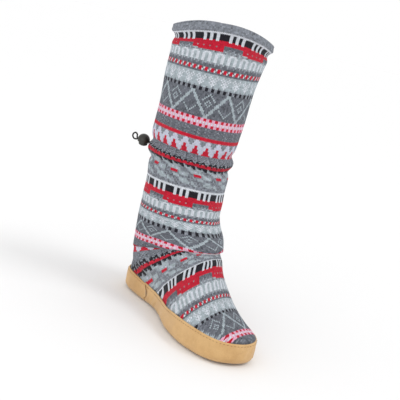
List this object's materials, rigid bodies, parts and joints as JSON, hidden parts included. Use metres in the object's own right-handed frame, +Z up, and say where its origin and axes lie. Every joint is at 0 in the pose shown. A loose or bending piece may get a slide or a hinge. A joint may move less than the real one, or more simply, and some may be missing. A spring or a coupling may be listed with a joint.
{
  "type": "slipper sock",
  "caption": "Tall knitted slipper boot in fair isle bands on a padded suede sole, tied in at mid shaft by a drawcord with a round sprung cord lock.",
  "frame": {"origin": "on the floor, under the middle of the boot's box without its free cord loop and lock", "axes": "+X towards the toe, +Y towards the wearer's left (the inner side of this right shoe), +Z up"},
  "size_m": [0.2631, 0.126, 0.358],
  "materials": {
    "knit": "soft stranded knit, grey with red, pink, white and black bands",
    "lining": "soft pile",
    "suede": "tan suede, brushed",
    "cord": "round black elastic cord",
    "lock": "satin moulded plastic"
  },
  "bodies": {
    "boot": {"upper": "knit", "insole": "lining", "outsole": "suede", "foxing_front": "suede", "foxing_heel": "suede", "drawcord": "cord", "drawcord_loop": "cord", "cord_lock_body": "lock"},
    "button": {"cord_lock_button": "lock"}
  },
  "joints": [
    {"name": "button_press", "type": "slide", "parent": "boot", "child": "button", "axis": [0, 0, 1], "range_m": [0, 0.002], "stiffness_N_per_m": 400, "springref_m": -0.003}
  ]
}
